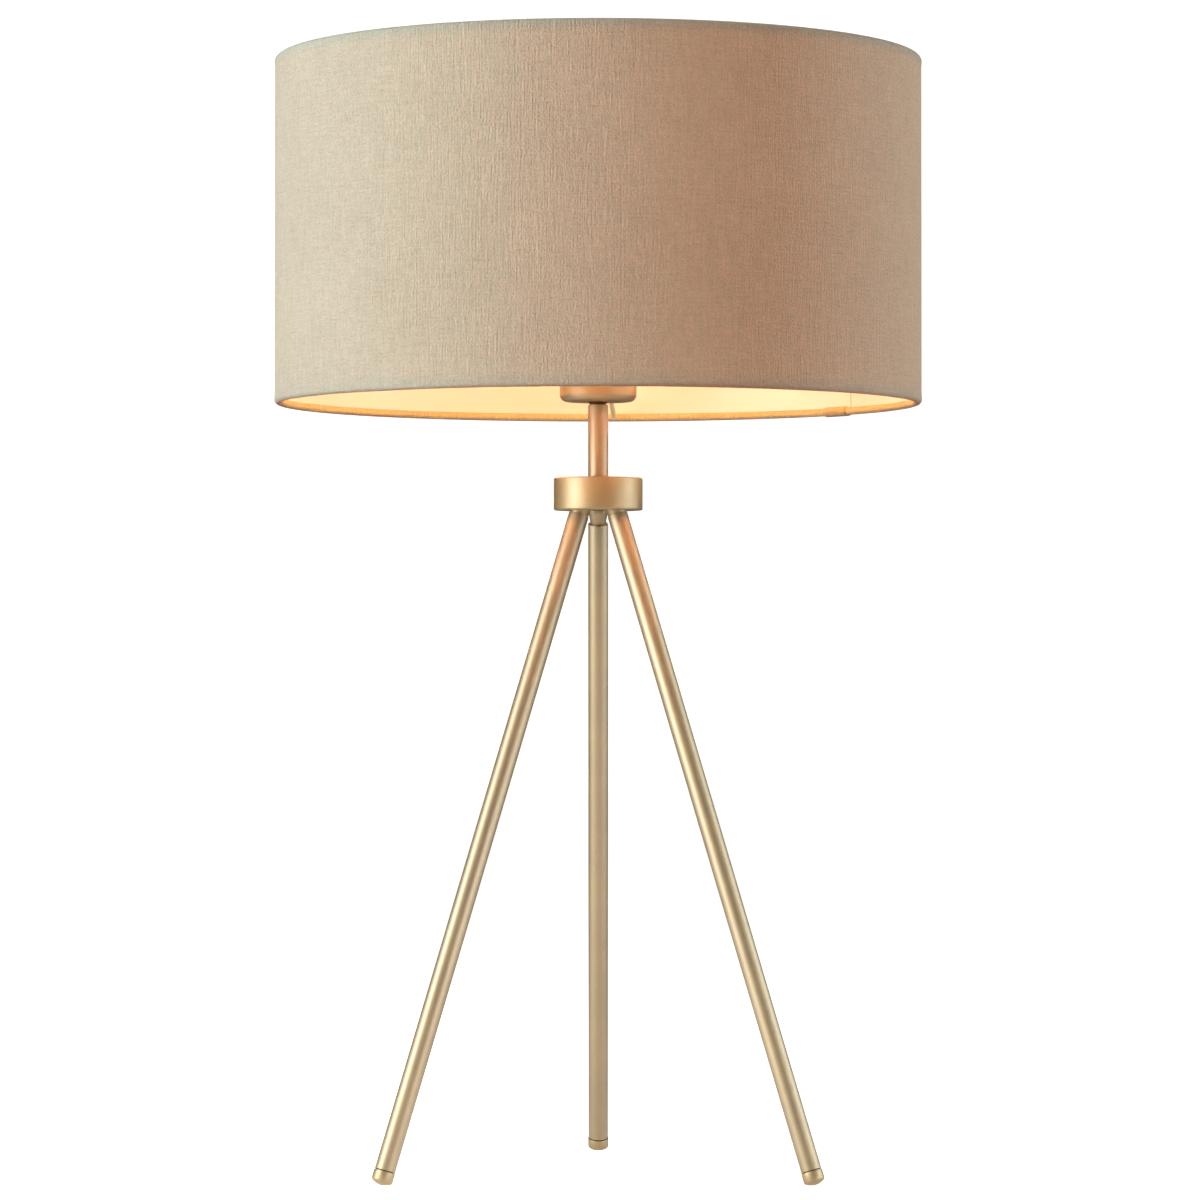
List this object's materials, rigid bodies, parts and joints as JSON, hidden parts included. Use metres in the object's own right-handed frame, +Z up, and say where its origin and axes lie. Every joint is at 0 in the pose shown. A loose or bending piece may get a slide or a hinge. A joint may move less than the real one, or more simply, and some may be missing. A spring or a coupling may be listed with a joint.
{
  "type": "tripod table lamp",
  "caption": "Table lamp with three splayed tubular legs, a round hub, a short stem and a wide fabric drum shade.",
  "frame": {"origin": "on the floor, on the upright axis through hub, stem and shade", "axes": "+Z up along the lamp's axis; +Y towards the rear leg; -Y is the front seen in the picture; +X to its right"},
  "size_m": [0.32, 0.32, 0.5503],
  "materials": {
    "satin_champagne_metal": "satin champagne plating over steel",
    "black_rubber": "matte",
    "zinc_steel": "zinc plated",
    "plain_brass": "plain",
    "white_plastic": "moulded, slightly glossy",
    "linen_fabric": "slubbed linen weave, taupe beige",
    "cream_liner": "smooth matte shade liner",
    "white_wire": "white coated wire",
    "bulb_metal": "bright drawn",
    "black_insulator": "black vitrite",
    "opal_glass": "opal, lit"
  },
  "bodies": {
    "base": {"leg_tube_rear": "satin_champagne_metal", "leg_tube_left": "satin_champagne_metal", "leg_tube_right": "satin_champagne_metal", "leg_nose_rear": "satin_champagne_metal", "leg_nose_left": "satin_champagne_metal", "leg_nose_right": "satin_champagne_metal", "foot_cap_rear": "satin_champagne_metal", "foot_cap_left": "satin_champagne_metal", "foot_cap_right": "satin_champagne_metal", "hub": "satin_champagne_metal", "stem_tube": "satin_champagne_metal", "neck_spacer": "satin_champagne_metal", "holder_cup": "satin_champagne_metal", "cord_grommet": "black_rubber", "holder_nipple": "zinc_steel", "toothed_washer": "zinc_steel", "locknut": "plain_brass", "terminal_block": "white_plastic", "terminal_screws": "plain_brass", "centre_contact": "plain_brass", "side_contacts": "plain_brass", "holder_sleeve": "white_plastic", "lower_shade_ring": "white_plastic"},
    "shade": {"shade_fabric": "linen_fabric", "shade_seam": "linen_fabric", "shade_liner": "cream_liner", "shade_top_ring": "white_wire", "shade_bottom_ring": "white_wire", "spider_arm_rear": "white_wire", "spider_arm_left": "white_wire", "spider_arm_right": "white_wire", "spider_centre_ring": "white_wire"},
    "upper_ring": {"upper_shade_ring": "white_plastic"},
    "bulb_contact": {"bulb_tip": "bulb_metal"},
    "bulb": {"bulb_insulator": "black_insulator", "bulb_cap": "bulb_metal", "bulb_glass": "opal_glass"}
  },
  "joints": [
    {"name": "shade_turn", "type": "hinge", "parent": "base", "child": "shade", "pos_m": [0, 0, 0.409], "axis": [0, 0, 1], "continuous": true},
    {"name": "ring_lift", "type": "slide", "parent": "base", "child": "upper_ring", "axis": [0, 0, 1], "range_m": [0, 0.021]},
    {"name": "bulb_lift", "type": "slide", "parent": "base", "child": "bulb_contact", "axis": [0, 0, 1], "range_m": [0, 0.0236]},
    {"name": "bulb_turn", "type": "hinge", "parent": "bulb_contact", "child": "bulb", "pos_m": [0, 0, 0.4037], "axis": [0, 0, 1], "range_deg": [0, 2340]}
  ],
  "couplings": [
    {"joint": "bulb_lift", "follows": "bulb_turn", "m_per_rad": 0.0005775}
  ]
}
